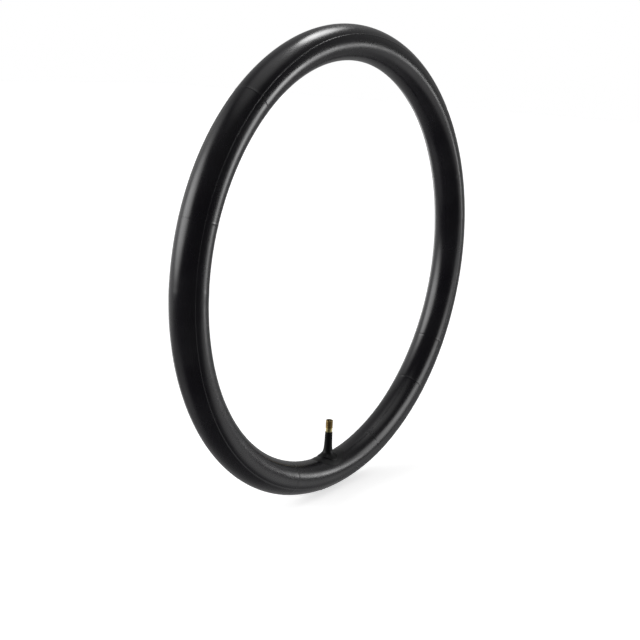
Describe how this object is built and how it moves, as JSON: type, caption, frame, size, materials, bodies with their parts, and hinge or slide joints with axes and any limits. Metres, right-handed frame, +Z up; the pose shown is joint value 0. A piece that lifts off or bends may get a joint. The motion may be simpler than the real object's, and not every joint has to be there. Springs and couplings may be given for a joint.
{
  "type": "bicycle inner tube",
  "caption": "Round butyl bicycle inner tube with a bonded, rubber covered car type valve whose sprung core pin presses and whose core unscrews.",
  "frame": {"origin": "centre of the ring, where the wheel's axle runs", "axes": "+Y along the wheel's axle, +Z up; the valve is at the lowest point of the ring and points up, along +Z, at the centre"},
  "size_m": [0.4844, 0.0344, 0.4844],
  "materials": {
    "butyl": "satin",
    "patch_rubber": "matt",
    "sleeve_rubber": "satin",
    "stem_brass": "machined",
    "core_brass": "machined",
    "ptfe": "smooth",
    "seal_rubber": "matt",
    "spring_steel": "bright drawn wire"
  },
  "bodies": {
    "tube": {"inner_tube": "butyl", "valve_patch": "patch_rubber", "valve_sleeve": "sleeve_rubber", "valve_stem": "stem_brass"},
    "core": {"core_barrel": "core_brass", "core_gasket": "ptfe", "core_spring": "spring_steel"},
    "plug": {"core_plug": "core_brass"},
    "pin": {"core_pin": "core_brass", "spring_collar": "core_brass", "pin_cup": "core_brass", "pin_seal": "seal_rubber"}
  },
  "joints": [
    {"name": "core_travel", "type": "slide", "parent": "tube", "child": "core", "axis": [0, 0, 1], "range_m": [0, 0.00705]},
    {"name": "plug_turn", "type": "hinge", "parent": "core", "child": "plug", "pos_m": [0, 0, -0.17175], "axis": [0, 0, 1], "range_deg": [0, 3600]},
    {"name": "pin_press", "type": "slide", "parent": "core", "child": "pin", "axis": [0, 0, -1], "range_m": [0, 0.0015], "stiffness_N_per_m": 1000, "springref_m": -0.001, "deforming": ["core_spring"]}
  ],
  "couplings": [
    {"joint": "plug_turn", "follows": "core_travel", "rad_per_m": 8904.7}
  ]
}
